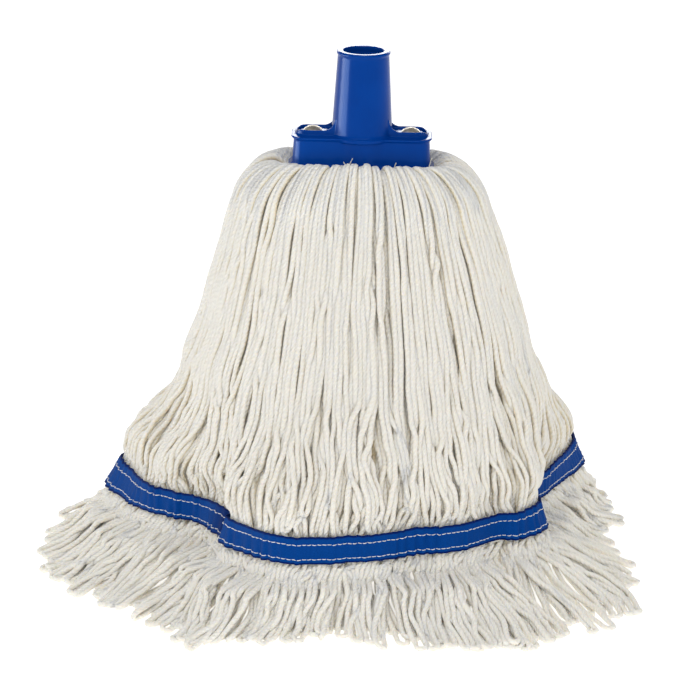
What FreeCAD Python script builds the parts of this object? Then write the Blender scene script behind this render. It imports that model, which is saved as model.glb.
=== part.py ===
import FreeCAD, Part
import math
import os

import Sketcher

Vector = FreeCAD.Vector
Placement = FreeCAD.Placement
Rotation = FreeCAD.Rotation

# ---------------------------------------------------------------------------
# Frame: millimetres, +Z up. The origin is on the floor under the handle's axis.
# X runs along the clamp's long side, Y across it. The head stands on its yarn.
# ---------------------------------------------------------------------------
doc = FreeCAD.newDocument("string_mop")
sheet = doc.addObject("Spreadsheet::Sheet", "sizes")

DRIVING_SIZES = [
    # the moulded socket: heights above the floor
    ("rim_level", 257.5, "underside of the hood's flared rim"),
    ("ledge_level", 277.5, "top of the hood, the ledge round the collar"),
    ("mouth_level", 331.0, "top of the handle tube"),
    # the handle tube
    ("bore_radius", 12.7, "for a 25 mm handle"),
    ("bore_floor", 278.0, "level that the handle's end stops at"),
    ("neck_radius", 16.25, "outside of the tube just under its lip"),
    ("base_radius", 19.3, "outside of the tube at its foot"),
    ("lip_radius", 17.0, "rounded lip at the mouth"),
    ("lip_depth", 2.6, "height of the lip"),
    ("lip_slope", 0.9, "height over which the lip swells out of the tube"),
    ("lip_round", 0.65, "round on the lip's upper edge"),
    ("foot_round", 1.5, "round between the tube's foot and the ledge"),
    ("groove_radius", 13.1, "two shallow grip grooves near the mouth"),
    ("groove_width", 0.9, "height of one grip groove"),
    ("groove_upper_depth", 4.0, "foot of the upper groove below the mouth"),
    ("groove_lower_depth", 7.0, "foot of the lower groove below the mouth"),
    # the hood, an oblong box that bulges round the tube
    ("hood_half_length", 43.0, "wall at the top, along X"),
    ("hood_half_depth", 15.2, "wall at the top, along Y, away from the bulge"),
    ("hood_corner", 8.0, "plan radius of the corners"),
    ("bulge_radius", 19.0, "plan radius of the bulge that takes the tube"),
    ("bulge_blend", 14.0, "plan radius of the hollow beside the bulge"),
    ("ledge_growth", 1.7, "how far the ledge stands out of the wall"),
    ("draft_growth", 0.9, "how far the wall has drafted out at its foot"),
    ("rim_growth", 3.6, "how far the flared rim stands out of the wall"),
    ("rim_edge", 0.8, "upright edge at the foot of the flared rim"),
    ("flare_height", 3.2, "height over which the rim flares out of the wall"),
    ("ledge_foot", 2.0, "depth under the ledge's top at which it leaves the wall"),
    ("ledge_shoulder", 1.2, "depth at which it has most of its growth"),
    ("ledge_round", 0.6, "radius of its upper edge"),
    ("hood_wall", 2.0, "wall thickness of the hood"),
    ("roof_thickness", 2.5, "plastic between the ledge and the cavity"),
    # the collar with its two rivet pockets
    ("collar_half_length", 42.5, "along X"),
    ("collar_half_depth", 9.0, "along Y, outside"),
    ("collar_wall", 1.5, "thickness of the collar's wall"),
    ("collar_height", 3.3, "above the ledge"),
    ("collar_end_round", 5.2, "how the collar's ends round down to the ledge"),
    ("collar_blend", 7.0, "how the collar sweeps up into the tube"),
    ("collar_overlap", 2.0, "how far the sweep starts inside the tube's foot"),
    ("pocket_floor", 1.8, "height of the rivets' seat above the ledge"),
    ("pocket_setback", 2.0, "how far the seat stops short of the collar's open ends"),
    # rivets, washers, clamp plate and tape
    ("rivet_offset", 31.0, "rivet centre from the tube's axis"),
    ("rivet_head_radius", 5.9, "domed head"),
    ("rivet_head_edge", 0.4, "straight edge under the dome"),
    ("rivet_dome", 2.4, "height of the dome above that edge"),
    ("rivet_shank_radius", 2.1, "shank"),
    ("rivet_clearance", 0.1, "between the shank and its holes, on the radius"),
    ("clinch_radius", 3.3, "spread foot of the rivet"),
    ("clinch_height", 1.1, "spread foot of the rivet"),
    ("washer_radius", 4.6, "washer under the clamp plate"),
    ("washer_thickness", 1.0, "washer under the clamp plate"),
    ("plate_half_length", 36.5, "clamp plate, along X"),
    ("plate_half_depth", 6.6, "clamp plate, along Y"),
    ("plate_thickness", 1.5, "clamp plate"),
    ("tape_thickness", 0.6, "heading tape sewn across the middle of the yarn"),
    ("bundle_thickness", 7.2, "yarn clamped between the roof and the tape"),
    ("bundle_gap", 0.3, "between the yarn and the inside of the hood"),
    ("layer_gap", 0.2, "between the yarn and the roof or the tape"),
    ("channel_gap", 0.4, "between the yarn and the plate's edges"),
    ("core_corner", 6.0, "corner cut out of the yarn's plan"),
    # where the yarn bends when the handle leans
    ("hinge_level", 235.0, "height of the line that the yarn bends about"),
    ("neck_dome_radius", 21.0, "yarn just under the hood, round that line"),
    ("neck_half_length", 38.0, "the same, along X"),
    # the skirt of yarn
    ("hank_wall", 12.0, "thickness of the outer yarn"),
    ("hank_gap_angle", 0.4, "degrees left open between neighbouring hanks"),
    # the tail band and its two rows of stitches
    ("band_gap", 0.8, "between the yarn and the band"),
    ("band_thickness", 1.2, "woven ribbon"),
    ("stitch_height", 0.9, "height of a stitch row"),
    ("stitch_thickness", 0.5, "how far a stitch row stands out"),
    ("stitch_gap", 0.05, "between the band and a stitch row"),
    # construction
    ("overshoot", 1.0, "how far a cutting tool runs past what it cuts"),
]

# The bell of yarn: level above the floor, half-width along X and along Y.
BELL_LEVELS = [
    ("floor", 0.0, 200.0, 172.0),
    ("band_low", 38.0, 167.0, 147.5),
    ("band_high", 56.0, 157.0, 139.0),
    ("thigh", 110.0, 127.0, 112.0),
    ("middle", 157.0, 106.0, 92.0),
    ("shoulder", 205.0, 91.0, 70.0),
    ("hinge", 235.0, 84.0, 47.0),
    ("top", 242.0, 80.0, 39.0),
]
# The inner yarn hangs more upright behind it: the same three measures.
INNER_LEVELS = [
    ("base", 0.0, 80.0, 66.0),
    ("waist", 120.0, 70.0, 52.0),
    ("crown", 235.0, 66.0, 28.5),
]
HANK_COUNT = 16

# share of the band's width, counted up from its lower edge
STITCH_ROWS = {"stitch_row_upper": 0.72, "stitch_row_lower": 0.18}


def fill_sheet():
    """Writes every driving dimension into the sheet, with its alias."""
    rows = [(alias, value) for alias, value, meaning in DRIVING_SIZES]
    for name, level, half_x, half_y in BELL_LEVELS + INNER_LEVELS:
        rows.append((f"bell_{name}_level", level))
        rows.append((f"bell_{name}_along", half_x))
        rows.append((f"bell_{name}_across", half_y))
    for number, (alias, value) in enumerate(rows, start=1):
        sheet.set(f"A{number}", alias)
        sheet.set(f"B{number}", str(value))
        sheet.setAlias(f"B{number}", alias)
    doc.recompute()


def expression(text):
    """An expression whose bare words are the sheet's aliases."""
    tokens = text.replace("(", " ( ").replace(")", " ) ").split()
    return " ".join(f"sizes.{token}" if token in aliases else token for token in tokens)


def size(alias):
    """The number that the sheet holds for an alias."""
    return float(sheet.get(alias))


def bind(item, **expressions):
    """Binds properties to expressions in the sheet's aliases. base_x and so on place the object."""
    paths = {
        "base_x": "Placement.Base.x",
        "base_y": "Placement.Base.y",
        "base_z": "Placement.Base.z",
    }
    for name, text in expressions.items():
        item.setExpression(paths.get(name, name), expression(text))
    return item


def box(name, length, width, height, low_x, low_y, low_z):
    item = doc.addObject("Part::Box", name)
    return bind(
        item, Length=length, Width=width, Height=height, base_x=low_x, base_y=low_y, base_z=low_z
    )


ALONG_Y = Rotation(Vector(1, 0, 0), -90)
ALONG_X = Rotation(Vector(0, 1, 0), 90)
UPRIGHT = Rotation()


def cylinder(name, radius, height, x="0", y="0", z="0", turn=UPRIGHT):
    item = doc.addObject("Part::Cylinder", name)
    item.Placement = Placement(Vector(), turn)
    return bind(item, Radius=radius, Height=height, base_x=x, base_y=y, base_z=z)


def fuse(name, *items):
    item = doc.addObject("Part::MultiFuse", name)
    item.Shapes = list(items)
    return item


def common(name, first, second):
    item = doc.addObject("Part::MultiCommon", name)
    item.Shapes = [first, second]
    return item


def cut(name, base, tool):
    item = doc.addObject("Part::Cut", name)
    item.Base = base
    item.Tool = tool
    return item


def stadium(name, half_length, half_depth, low_z, height):
    """An oblong with round ends, standing on low_z."""
    straight = f"( {half_length} - ( {half_depth} ) )"
    middle = box(
        f"{name}_middle",
        f"2 * {straight}",
        f"2 * ( {half_depth} )",
        height,
        f"0 - {straight}",
        f"0 - ( {half_depth} )",
        low_z,
    )
    ends = [
        cylinder(f"{name}_end_{side}", half_depth, height, x=f"{sign} * {straight}", z=low_z)
        for side, sign in (("left", -1), ("right", 1))
    ]
    return fuse(name, middle, *ends)


def turned_body(name, vertices):
    """A PartDesign body: the outline (radius, level) of each vertex turned about the Z axis."""
    body = doc.addObject("PartDesign::Body", name)
    sketch = body.newObject("Sketcher::SketchObject", f"{name}_outline")
    plane = next(item for item in body.Origin.OriginFeatures if item.Role == "XZ_Plane")
    sketch.AttachmentSupport = (plane, [""])
    sketch.MapMode = "FlatFace"
    bound = [(expression(radius), expression(level)) for radius, level in vertices]
    probe = doc.addObject("App::FeaturePython", f"{name}_probe")
    points = []
    for number, pair in enumerate(bound):
        for axis, text in zip("rz", pair):
            probe.addProperty("App::PropertyFloat", f"{axis}{number}")
            probe.setExpression(f"{axis}{number}", text)
    doc.recompute()
    for number in range(len(bound)):
        points.append(Vector(getattr(probe, f"r{number}"), getattr(probe, f"z{number}"), 0))
    doc.removeObject(probe.Name)
    for start, end in zip(points, points[1:] + points[:1]):
        sketch.addGeometry(Part.LineSegment(start, end), False)
    for number, (radius, level) in enumerate(bound):
        after = (number + 1) % len(bound)
        sketch.addConstraint(Sketcher.Constraint("Coincident", number, 2, after, 1))
        for kind, text, value in (
            ("DistanceX", radius, points[number].x),
            ("DistanceY", level, points[number].y),
        ):
            index = sketch.addConstraint(Sketcher.Constraint(kind, -1, 1, number, 1, value))
            sketch.setExpression(f"Constraints[{index}]", text)
    turned = body.newObject("PartDesign::Revolution", f"{name}_turned")
    turned.Profile = sketch
    turned.ReferenceAxis = (sketch, ["V_Axis"])
    turned.Angle = 360
    doc.recompute()
    return body


# ---------------------------------------------------------------------------
# socket_body
# ---------------------------------------------------------------------------
SIDES = (("left", -1), ("right", 1))
ROOF = "( ledge_level - roof_thickness )"
HOLE = "rivet_shank_radius + rivet_clearance"
# share of the ledge's growth that its shoulder has, and the angles that draw the rim's flare
LEDGE_SHOULDER_SHARE = 0.8
# where a hollow quarter-round's middle lies, as a share of its radius from its corner
ROUND_SHARE = 0.3
FLARE_STEPS = (30, 60, 90)


def hood_outline(level, growth):
    """The hood's plan at one level, standing growth out of the wall: straight sides, round
    corners, and a round bulge in the middle of each long side, met by a hollow arc."""
    corner = size("hood_corner") + growth
    hollow = size("bulge_blend") - growth
    bulge = size("bulge_radius") + growth
    corner_x = size("hood_half_length") - size("hood_corner")
    corner_y = size("hood_half_depth") - size("hood_corner")
    hollow_y = size("hood_half_depth") + size("bulge_blend")
    reach = size("bulge_radius") + size("bulge_blend")
    hollow_x = math.sqrt(reach * reach - hollow_y * hollow_y)
    centre = Vector(hollow_x, hollow_y, 0)
    meet = centre * (bulge / reach)
    halfway = (Vector(0, -1, 0) - centre / reach).normalize()
    middle = centre + halfway * hollow
    side_y = size("hood_half_depth") + growth
    end_x = size("hood_half_length") + growth
    diagonal = corner * math.sqrt(0.5)
    quarter = [
        ("line", Vector(end_x, 0, 0), Vector(end_x, corner_y, 0), None),
        (
            "arc",
            Vector(end_x, corner_y, 0),
            Vector(corner_x, side_y, 0),
            Vector(corner_x + diagonal, corner_y + diagonal, 0),
        ),
        ("line", Vector(corner_x, side_y, 0), Vector(hollow_x, side_y, 0), None),
        ("arc", Vector(hollow_x, side_y, 0), meet, middle),
        (
            "arc",
            meet,
            Vector(0, bulge, 0),
            Vector(meet.x / 2, math.sqrt(bulge * bulge - meet.x * meet.x / 4), 0),
        ),
    ]
    edges = []
    for sign_x, sign_y, backwards in ((1, 1, False), (-1, 1, True), (-1, -1, False), (1, -1, True)):
        run = []
        for kind, start, end, through in quarter:
            ends = [Vector(p.x * sign_x, p.y * sign_y, level) for p in (start, end)]
            if backwards:
                ends.reverse()
            if kind == "line":
                run.append(Part.LineSegment(ends[0], ends[1]).toShape())
            else:
                via = Vector(through.x * sign_x, through.y * sign_y, level)
                run.append(Part.Arc(ends[0], via, ends[1]).toShape())
        edges.extend(reversed(run) if backwards else run)
    return Part.Wire(edges)


def lofted_feature(name, levels):
    """A solid through the hood's plan at several levels."""
    item = doc.addObject("Part::Feature", name)
    item.Shape = Part.makeLoft([hood_outline(level, growth) for level, growth in levels], True, True)
    return item


def make_hood():
    """The hood's outside, from the flared rim up to the ledge, and the cavity under it."""
    rim = size("rim_level")
    ledge = size("ledge_level")
    flare = size("rim_growth")
    draft = size("draft_growth")
    proud = size("ledge_growth")
    edge = size("rim_edge")
    flare_height = size("flare_height")
    levels = [(rim, flare)]
    for step in FLARE_STEPS:
        share = 1 - math.sin(math.radians(step))
        rise = flare_height * (1 - math.cos(math.radians(step)))
        levels.append((rim + edge + rise, draft + (flare - draft) * share))
    levels += [
        (ledge - size("ledge_foot"), 0.0),
        (ledge - size("ledge_shoulder"), proud * LEDGE_SHOULDER_SHARE),
    ]
    corner = size("ledge_round")
    for step in (0,) + FLARE_STEPS:
        turn = math.radians(step)
        levels.append((ledge - corner * (1 - math.sin(turn)), proud - corner * (1 - math.cos(turn))))
    outside = lofted_feature("hood_outside", levels)
    wall = size("hood_wall")
    roof = ledge - size("roof_thickness")
    cavity_levels = [
        (rim - size("overshoot"), flare - wall),
        (rim + edge, flare - wall),
        (rim + edge + flare_height, draft - wall),
        (roof, -wall),
    ]
    cavity = lofted_feature("hood_cavity", cavity_levels)
    return outside, cavity


def make_tube():
    """The tapered handle tube with its lip, solid until the bore is cut."""
    return turned_body(
        "handle_tube",
        [
            ("0", "ledge_level - roof_thickness"),
            ("base_radius + foot_round", "ledge_level - roof_thickness"),
            ("base_radius + foot_round", "ledge_level"),
            (f"base_radius + {ROUND_SHARE} * foot_round", f"ledge_level + {ROUND_SHARE} * foot_round"),
            ("base_radius", "ledge_level + foot_round"),
            ("neck_radius", "mouth_level - lip_depth"),
            ("lip_radius", "mouth_level - lip_depth + lip_slope"),
            ("lip_radius", "mouth_level - lip_round"),
            ("lip_radius - lip_round", "mouth_level"),
            ("0", "mouth_level"),
        ],
    )


def make_collar():
    """The low wall round both rivet pockets: round ends in plan, rounded down at the ends and
    swept up into the tube in elevation."""
    ring = cut(
        "collar_ring",
        stadium(
            "collar_plan",
            "collar_half_length",
            "collar_half_depth",
            "ledge_level - overshoot",
            "collar_height + collar_blend + overshoot",
        ),
        stadium(
            "collar_inside",
            "collar_half_length - collar_wall",
            "collar_half_depth - collar_wall",
            "ledge_level - 2 * overshoot",
            "collar_height + collar_blend + 4 * overshoot",
        ),
    )
    end_x = "( collar_half_length - collar_end_round )"
    low = box(
        "collar_low",
        f"2 * {end_x}",
        "4 * collar_half_depth",
        "collar_height + overshoot",
        f"0 - {end_x}",
        "-2 * collar_half_depth",
        "ledge_level - overshoot",
    )
    sweep_x = "( base_radius + collar_blend - collar_overlap )"
    high = box(
        "collar_high",
        f"2 * {sweep_x}",
        "4 * collar_half_depth",
        "collar_height + collar_blend + overshoot",
        f"0 - {sweep_x}",
        "-2 * collar_half_depth",
        "ledge_level - overshoot",
    )
    rounds = []
    hollows = []
    for side, sign in SIDES:
        rounds.append(
            cylinder(
                f"collar_round_{side}",
                "collar_end_round",
                "4 * collar_half_depth",
                x=f"{sign} * {end_x}",
                y="-2 * collar_half_depth",
                z="ledge_level + collar_height - collar_end_round",
                turn=ALONG_Y,
            )
        )
        hollows.append(
            cylinder(
                f"collar_hollow_{side}",
                "collar_blend",
                "5 * collar_half_depth",
                x=f"{sign} * {sweep_x}",
                y="-2.5 * collar_half_depth",
                z="ledge_level + collar_height + collar_blend",
                turn=ALONG_Y,
            )
        )
    elevation = cut(
        "collar_elevation",
        fuse("collar_full", low, high, *rounds),
        fuse("collar_hollows", *hollows),
    )
    floor = stadium(
        "pocket_seat",
        "collar_half_length - collar_wall - pocket_setback",
        "collar_half_depth - collar_wall",
        "ledge_level - overshoot",
        "pocket_floor + overshoot",
    )
    return fuse("collar", common("collar_wall_swept", ring, elevation), floor)


def make_socket():
    outside, cavity = make_hood()
    filled = fuse("socket_filled", outside, make_tube(), make_collar())
    tools = [
        cavity,
        cylinder("bore", "bore_radius", "mouth_level - bore_floor + overshoot", z="bore_floor"),
    ]
    for place in ("upper", "lower"):
        foot = f"mouth_level - groove_{place}_depth"
        tools.append(cylinder(f"grip_groove_{place}", "groove_radius", "groove_width", z=foot))
    for side, sign in SIDES:
        tools.append(
            cylinder(
                f"socket_rivet_hole_{side}",
                HOLE,
                "roof_thickness + pocket_floor + 4 * overshoot",
                x=f"{sign} * rivet_offset",
                z=f"{ROOF} - 2 * overshoot",
            )
        )
    return cut("socket_body", filled, fuse("socket_tools", *tools))


# ---------------------------------------------------------------------------
# What the hood holds: rivets, washers, clamp plate, heading tape, clamped yarn
# ---------------------------------------------------------------------------
TAPE_TOP = f"( {ROOF} - bundle_thickness - layer_gap )"
PLATE_TOP = f"( {TAPE_TOP} - tape_thickness )"
WASHER_TOP = f"( {PLATE_TOP} - plate_thickness )"
CLINCH_TOP = f"( {WASHER_TOP} - washer_thickness )"


def make_rivet(side, sign):
    """Domed head in its pocket, shank through the roof, the yarn and the plate, spread foot."""
    seat = "( ledge_level + pocket_floor )"
    across = f"{sign} * rivet_offset"
    ball_radius = (
        "( ( rivet_head_radius * rivet_head_radius + rivet_dome * rivet_dome ) / ( 2 * rivet_dome ) )"
    )
    ball = doc.addObject("Part::Sphere", f"rivet_ball_{side}")
    bind(
        ball,
        Radius=ball_radius,
        base_x=across,
        base_z=f"{seat} + rivet_head_edge + rivet_dome - {ball_radius}",
    )
    cap = cylinder(
        f"rivet_cap_{side}",
        "rivet_head_radius",
        "rivet_dome + overshoot",
        x=across,
        z=f"{seat} + rivet_head_edge",
    )
    edge = cylinder(
        f"rivet_edge_{side}", "rivet_head_radius", "rivet_head_edge", x=across, z=seat
    )
    shank = cylinder(
        f"rivet_shank_{side}",
        "rivet_shank_radius",
        f"{seat} - {CLINCH_TOP} + rivet_head_edge",
        x=across,
        z=CLINCH_TOP,
    )
    clinch = cylinder(
        f"rivet_clinch_{side}",
        "clinch_radius",
        "clinch_height",
        x=across,
        z=f"{CLINCH_TOP} - clinch_height",
    )
    dome = common(f"rivet_dome_{side}", ball, cap)
    return fuse(f"rivet_{side}", dome, edge, shank, clinch)


def make_washer(side, sign):
    across = f"{sign} * rivet_offset"
    disc = cylinder(
        f"washer_disc_{side}", "washer_radius", "washer_thickness", x=across, z=CLINCH_TOP
    )
    hole = cylinder(
        f"washer_hole_{side}",
        HOLE,
        "washer_thickness + 2 * overshoot",
        x=across,
        z=f"{CLINCH_TOP} - overshoot",
    )
    return cut(f"rivet_washer_{side}", disc, hole)


def drilled(name, solid, low_z, height):
    """The solid with a hole for each rivet."""
    holes = [
        cylinder(f"{name}_hole_{side}", HOLE, height, x=f"{sign} * rivet_offset", z=low_z)
        for side, sign in SIDES
    ]
    return cut(name, solid, fuse(f"{name}_holes", *holes))


def make_clamp_plate():
    low = f"{PLATE_TOP} - plate_thickness"
    blank = stadium(
        "plate_blank", "plate_half_length", "plate_half_depth", low, "plate_thickness"
    )
    return drilled(
        "clamp_plate", blank, f"{low} - overshoot", "plate_thickness + 2 * overshoot"
    )


def make_heading_tape():
    low = f"{TAPE_TOP} - tape_thickness"
    blank = box(
        "tape_blank",
        "2 * plate_half_length",
        "2 * plate_half_depth",
        "tape_thickness",
        "0 - plate_half_length",
        "0 - plate_half_depth",
        low,
    )
    return drilled(
        "heading_tape", blank, f"{low} - overshoot", "tape_thickness + 2 * overshoot"
    )


def make_yarn_core():
    """The yarn in the hood: it crosses over the plate and turns down along both long sides."""
    half_length = "( hood_half_length - hood_wall - bundle_gap )"
    half_depth = "( hood_half_depth - hood_wall - bundle_gap )"
    height = f"( {ROOF} - layer_gap - rim_level )"
    across = box(
        "core_across",
        f"2 * ( {half_length} - core_corner )",
        f"2 * {half_depth}",
        height,
        f"0 - ( {half_length} - core_corner )",
        f"0 - {half_depth}",
        "rim_level",
    )
    along = box(
        "core_along",
        f"2 * {half_length}",
        f"2 * ( {half_depth} - core_corner )",
        height,
        f"0 - {half_length}",
        f"0 - ( {half_depth} - core_corner )",
        "rim_level",
    )
    bulge = cylinder("core_bulge", "bulge_radius - hood_wall - bundle_gap", height, z="rim_level")
    channel = box(
        "core_channel",
        "2 * ( plate_half_length + channel_gap )",
        "2 * ( plate_half_depth + channel_gap )",
        f"{TAPE_TOP} - rim_level + overshoot",
        "0 - ( plate_half_length + channel_gap )",
        "0 - ( plate_half_depth + channel_gap )",
        "rim_level - overshoot",
    )
    shaped = cut("core_shaped", fuse("core_filled", across, along, bulge), channel)
    return drilled(
        "yarn_core", shaped, f"{TAPE_TOP} - overshoot", "bundle_thickness + 4 * overshoot"
    )


# ---------------------------------------------------------------------------
# The yarn below the hood
# ---------------------------------------------------------------------------
def ellipse(name, level, along, across):
    item = doc.addObject("Part::Ellipse", name)
    return bind(item, MajorRadius=along, MinorRadius=across, base_z=level)


def bell(name, inset, levels):
    """A solid through the ellipses of the given levels, inset from their outside."""
    sections = [
        ellipse(
            f"{name}_{level}",
            f"bell_{level}_level",
            f"bell_{level}_along - ( {inset} )",
            f"bell_{level}_across - ( {inset} )",
        )
        for level in (row[0] for row in levels)
    ]
    item = doc.addObject("Part::Loft", name)
    item.Sections = sections
    item.Solid = True
    item.Ruled = False
    return item


def make_skirt():
    """The outer yarn as equal hanks round the bell, and the inner yarn behind them."""
    outside = bell("bell_outside", "0", BELL_LEVELS)
    inside = bell("bell_inside", "hank_wall", BELL_LEVELS)
    shell = cut("bell_shell", outside, inside)
    pieces = []
    share = 360.0 / HANK_COUNT
    for number in range(HANK_COUNT):
        sector = doc.addObject("Part::Cylinder", f"sector_{number + 1:02d}")
        start = number * share + size("hank_gap_angle") / 2
        sector.Placement = Placement(Vector(), Rotation(Vector(0, 0, 1), start))
        bind(
            sector,
            Radius="2 * bell_floor_along",
            Height="mouth_level",
            Angle=f"360 / {HANK_COUNT} - hank_gap_angle",
        )
        pieces.append(common(f"yarn_hank_{number + 1:02d}", shell, sector))
    pieces.append(bell("inner_yarn", "0", INNER_LEVELS))
    return pieces


def make_yarn_neck():
    """The bundle just under the hood: a half-round about the line that the yarn bends on."""
    roll = cylinder(
        "neck_roll",
        "neck_dome_radius",
        "2 * neck_half_length",
        x="0 - neck_half_length",
        z="hinge_level",
        turn=ALONG_X,
    )
    upper = box(
        "neck_upper",
        "2 * neck_half_length",
        "2 * neck_dome_radius",
        "neck_dome_radius",
        "0 - neck_half_length",
        "0 - neck_dome_radius",
        "hinge_level",
    )
    return common("yarn_neck", roll, upper)


def band_ring(name, low_share, high_share, inside, thickness):
    """A ring that lies round the bell between two shares of the band's width."""

    def between(kind, share):
        return f"( bell_band_low_{kind} * ( 1 - {share} ) + bell_band_high_{kind} * {share} )"

    solids = []
    for skin, offset in (("inside", inside), ("outside", f"{inside} + {thickness}")):
        sections = [
            ellipse(
                f"{name}_{skin}_{edge}",
                between("level", share),
                f"{between('along', share)} + {offset}",
                f"{between('across', share)} + {offset}",
            )
            for edge, share in (("low", low_share), ("high", high_share))
        ]
        item = doc.addObject("Part::Loft", f"{name}_{skin}")
        item.Sections = sections
        item.Solid = True
        item.Ruled = True
        solids.append(item)
    return cut(name, solids[1], solids[0])


def make_band():
    """The woven tail band and the two rows of stitches that sew it to the yarn."""
    pieces = [band_ring("tail_band", "0", "1", "band_gap", "band_thickness")]
    width = "( bell_band_high_level - bell_band_low_level )"
    for name, share in STITCH_ROWS.items():
        half = f"( stitch_height / ( 2 * {width} ) )"
        pieces.append(
            band_ring(
                name,
                f"( {share} - {half} )",
                f"( {share} + {half} )",
                "band_gap + band_thickness + stitch_gap",
                "stitch_thickness",
            )
        )
    return pieces


# ---------------------------------------------------------------------------
# Build, check and export
# ---------------------------------------------------------------------------
def build():
    pieces = [make_socket()]
    for side, sign in SIDES:
        pieces.append(make_rivet(side, sign))
        pieces.append(make_washer(side, sign))
    pieces += [make_clamp_plate(), make_heading_tape(), make_yarn_core(), make_yarn_neck()]
    pieces += make_skirt()
    pieces += make_band()
    return pieces


def export(pieces):
    doc.recompute()
    for item in doc.Objects:
        if "Invalid" in item.State or "Error" in item.State:
            raise RuntimeError(f"{item.Label} did not recompute: {item.State}")
    os.makedirs("parts", exist_ok=True)
    for item in pieces:
        shape = item.Shape
        if shape.isNull() or not shape.isValid() or not shape.Solids:
            raise RuntimeError(f"{item.Label} has no valid solid")
        shape.exportStep(f"parts/{item.Label}.step")
        box_of = shape.BoundBox
        print(
            f"{item.Label:20s} solids {len(shape.Solids)} volume {shape.Volume / 1000:9.2f} cm3"
            f"  z {box_of.ZMin:7.2f} to {box_of.ZMax:7.2f}"
        )


aliases = {row[0] for row in DRIVING_SIZES}
for level_name, *numbers in BELL_LEVELS + INNER_LEVELS:
    aliases |= {f"bell_{level_name}_{kind}" for kind in ("level", "along", "across")}
fill_sheet()
export(build())
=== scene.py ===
import math

import bpy
import numpy as np
from mathutils import Matrix, Vector


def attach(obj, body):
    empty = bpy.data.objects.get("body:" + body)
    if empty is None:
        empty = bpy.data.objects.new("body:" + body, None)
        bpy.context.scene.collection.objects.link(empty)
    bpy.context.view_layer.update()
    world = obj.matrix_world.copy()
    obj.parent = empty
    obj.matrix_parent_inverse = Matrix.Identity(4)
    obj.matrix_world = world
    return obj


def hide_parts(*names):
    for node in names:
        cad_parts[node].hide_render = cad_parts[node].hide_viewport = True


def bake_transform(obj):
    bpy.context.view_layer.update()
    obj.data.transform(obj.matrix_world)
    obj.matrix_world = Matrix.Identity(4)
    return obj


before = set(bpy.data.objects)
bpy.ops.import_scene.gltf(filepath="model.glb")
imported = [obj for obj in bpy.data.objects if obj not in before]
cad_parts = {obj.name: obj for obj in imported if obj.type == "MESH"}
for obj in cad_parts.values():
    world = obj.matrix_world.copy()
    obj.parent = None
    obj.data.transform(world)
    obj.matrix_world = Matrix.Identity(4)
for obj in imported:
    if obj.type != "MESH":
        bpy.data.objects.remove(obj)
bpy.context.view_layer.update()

MM = 0.001
rng = np.random.default_rng(857)

# ---- Camera, at the object's front, a little above it ----
CAMERA_PLACE = (0.0, -1.5, 0.64)
LOOK_DOWN = math.radians(18.7)
LOOK_LEFT = math.radians(0.177)
ROLL = math.radians(1.2)
LENS = 124.66


def placed(name, data):
    """An object in the scene."""
    item = bpy.data.objects.new(name, data)
    bpy.context.scene.collection.objects.link(item)
    return item


camera_data = bpy.data.cameras.new("camera")
camera_data.lens = LENS
camera_data.sensor_width = 36.0
camera = placed("camera", camera_data)
camera.matrix_world = (
    Matrix.Translation(CAMERA_PLACE)
    @ Matrix.Rotation(LOOK_LEFT, 4, "Z")
    @ Matrix.Rotation(math.pi / 2 - LOOK_DOWN, 4, "X")
    @ Matrix.Rotation(ROLL, 4, "Z")
)
bpy.context.scene.camera = camera


# ---- Small geometry helpers ----
def smooth(x, low, high):
    """0 below low, 1 above high, and a smooth step between."""
    t = np.clip((np.asarray(x, float) - low) / (high - low), 0, 1)
    return t * t * (3 - 2 * t)


def catmull(points, per_run, closed=False):
    """Points on smooth curves through (..., n, d) points, per_run for each run between two."""
    p = np.asarray(points, float)
    if closed:
        before, after, later = (np.roll(p, k, axis=-2) for k in (1, -1, -2))
    else:
        first = 2 * p[..., :1, :] - p[..., 1:2, :]
        last = 2 * p[..., -1:, :] - p[..., -2:-1, :]
        whole = np.concatenate([first, p, last], axis=-2)
        runs = p.shape[-2] - 1
        before, p, after, later = (whole[..., k : k + runs, :] for k in range(4))
    t = (np.arange(per_run) / per_run)[:, None]
    b, p, a, c = (x[..., :, None, :] for x in (before, p, after, later))
    out = 0.5 * (
        2 * p
        + (a - b) * t
        + (2 * b - 5 * p + 4 * a - c) * t**2
        + (3 * p - b - 3 * a + c) * t**3
    )
    out = out.reshape(*out.shape[:-3], -1, out.shape[-1])
    if not closed:
        out = np.concatenate([out, a[..., -1:, 0, :]], axis=-2)
    return out


def lengths_along(line):
    step = np.linalg.norm(np.diff(line, axis=-2), axis=-1)
    start = np.zeros((*step.shape[:-1], 1))
    return np.concatenate([start, np.cumsum(step, axis=-1)], axis=-1)


def unit(vectors):
    return vectors / np.maximum(np.linalg.norm(vectors, axis=-1, keepdims=True), 1e-9)


def carried(values, lines, count):
    """Values that belong to each line's points, at count equal distances along the line."""
    out = np.empty((len(lines), count, 3))
    for number, line in enumerate(lines):
        along = lengths_along(line)
        at = np.linspace(0, along[-1], count)
        for axis in range(3):
            out[number, :, axis] = np.interp(at, along, values[number][:, axis])
    return out


def resampled(lines, count):
    """Each line again, with count points at equal distances."""
    return carried(lines, lines, count)


def smooth_noise(shape_rows, count, knots, seed):
    """One smooth random line for each row, from random values at evenly spaced knots."""
    source = np.random.default_rng(seed)
    values = source.normal(0, 1, (shape_rows, knots + 3))
    phase = source.uniform(0, 1, (shape_rows, 1))
    at = np.linspace(0, knots - 1e-6, count)[None, :] + phase
    low = np.floor(at).astype(int)
    t = at - low
    t = t * t * (3 - 2 * t)
    rows = np.arange(shape_rows)[:, None]
    return values[rows, low] * (1 - t) + values[rows, low + 1] * t


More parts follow.
